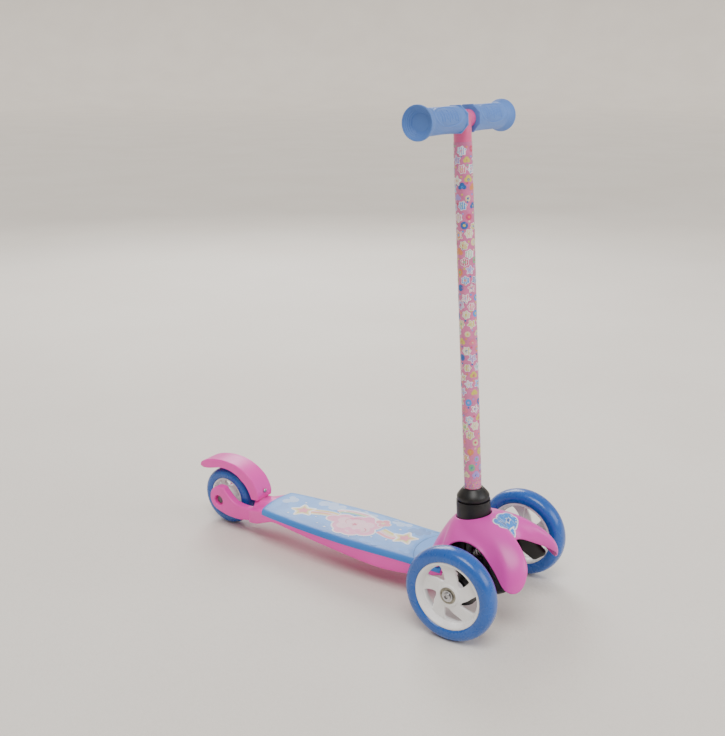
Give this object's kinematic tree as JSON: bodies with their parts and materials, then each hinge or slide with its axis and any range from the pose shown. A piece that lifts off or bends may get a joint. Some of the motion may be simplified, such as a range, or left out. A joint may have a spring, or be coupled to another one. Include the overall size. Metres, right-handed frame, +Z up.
{
  "type": "three-wheel kick scooter",
  "caption": "Child's kick scooter with two leaning, steering front wheels, a short deck, a fixed T-shaped handlebar and a foot brake over the rear wheel",
  "frame": {"origin": "on the ground, under the middle of the whole scooter", "axes": "+X to the rider's left, the scooter travels toward -Y, +Z up along the stem"},
  "size_m": [0.2358, 0.5774, 0.6515],
  "materials": {
    "pink_plastic": "satin injection-moulded plastic, bubblegum pink",
    "cover_plastic": "smooth satin-gloss moulded plastic, orchid pink",
    "deck_blue": "moulded plastic, sky blue",
    "deck_graphic": "printed grip panel with stars, rainbows and clouds on a blue sky",
    "black_plastic": "satin black glass-filled nylon",
    "pink_paint": "gloss pink powder coat",
    "stem_graphic": "printed film with bright confetti shapes",
    "grip_rubber": "matte cornflower-blue rubber",
    "tyre_blue": "glossy blue polyurethane",
    "rim_white": "white glossy plastic",
    "steel": "zinc-plated steel",
    "spring_steel": "bright spring wire",
    "bush_nylon": "natural nylon"
  },
  "bodies": {
    "chassis": {"deck_base": "pink_plastic", "deck_walls": "pink_plastic", "rear_fork": "pink_plastic", "deck_plate": "deck_blue", "deck_print": "deck_graphic", "front_cover": "cover_plastic", "steering_frame": "black_plastic", "collar_ring": "black_plastic", "stem_tube": "pink_paint", "printed_sleeve": "stem_graphic", "handlebar_tube": "pink_paint", "left_grip": "grip_rubber", "right_grip": "grip_rubber", "snap_button_spring": "spring_steel", "lean_pivot_bolt": "steel", "lean_pivot_nut": "steel", "drive_pin": "steel", "centring_springs": "spring_steel", "cover_screws": "steel", "frame_screws": "steel", "rear_axle_bolt": "steel", "rear_axle_nut": "steel", "rear_axle_spacers": "steel", "brake_pin": "steel", "brake_spring": "spring_steel"},
    "snap_button": {"snap_button": "steel"},
    "front_truck": {"front_truck": "black_plastic", "lean_bushes": "bush_nylon", "kingpins": "steel"},
    "tie_rod": {"tie_rod": "black_plastic"},
    "left_knuckle": {"left_knuckle": "black_plastic", "left_axle_bolt": "steel", "left_axle_spacers": "steel"},
    "right_knuckle": {"right_knuckle": "black_plastic", "right_axle_bolt": "steel", "right_axle_spacers": "steel"},
    "front_left_wheel": {"front_left_tyre": "tyre_blue", "front_left_rim": "rim_white", "front_left_bearings": "steel"},
    "front_right_wheel": {"front_right_tyre": "tyre_blue", "front_right_rim": "rim_white", "front_right_bearings": "steel"},
    "rear_wheel": {"rear_tyre": "tyre_blue", "rear_rim": "rim_white", "rear_bearings": "steel"},
    "brake": {"brake_fender": "pink_plastic", "brake_screw": "steel"}
  },
  "joints": [
    {"name": "lean", "type": "hinge", "parent": "chassis", "child": "front_truck", "pos_m": [0, -0.213, 0.066], "axis": [0, 1, 0], "range_deg": [-10, 10], "stiffness_Nm_per_rad": 25, "deforming": ["centring_springs"]},
    {"name": "tie_rod_slide", "type": "slide", "parent": "front_truck", "child": "tie_rod", "axis": [1, 0, 0], "range_m": [-0.0034, 0.0034]},
    {"name": "left_steer", "type": "hinge", "parent": "front_truck", "child": "left_knuckle", "pos_m": [0.068, -0.213, 0.0625], "axis": [0, 0, 1], "range_deg": [-8.8, 8.8]},
    {"name": "right_steer", "type": "hinge", "parent": "front_truck", "child": "right_knuckle", "pos_m": [-0.068, -0.213, 0.0625], "axis": [0, 0, 1], "range_deg": [-8.8, 8.8]},
    {"name": "front_left_spin", "type": "hinge", "parent": "left_knuckle", "child": "front_left_wheel", "pos_m": [0.10455, -0.213, 0.0625], "axis": [1, 0, 0], "continuous": true},
    {"name": "front_right_spin", "type": "hinge", "parent": "right_knuckle", "child": "front_right_wheel", "pos_m": [-0.10455, -0.213, 0.0625], "axis": [1, 0, 0], "continuous": true},
    {"name": "rear_spin", "type": "hinge", "parent": "chassis", "child": "rear_wheel", "pos_m": [0, 0.2395, 0.045], "axis": [1, 0, 0], "continuous": true},
    {"name": "brake_press", "type": "hinge", "parent": "chassis", "child": "brake", "pos_m": [0, 0.178, 0.065], "axis": [-1, 0, 0], "range_deg": [0, 11.5], "stiffness_Nm_per_rad": 1.5, "springref_deg": -11.46, "deforming": ["brake_spring"]},
    {"name": "snap_button_press", "type": "slide", "parent": "chassis", "child": "snap_button", "axis": [0, -0.9978, 0.067], "range_m": [0, 0.004], "stiffness_N_per_m": 500, "springref_m": -0.002, "deforming": ["snap_button_spring"]}
  ],
  "couplings": [
    {"joint": "tie_rod_slide", "follows": "lean", "m_per_rad": 0.019},
    {"joint": "left_steer", "follows": "lean", "ratio": -0.86364},
    {"joint": "right_steer", "follows": "lean", "ratio": -0.86364}
  ]
}
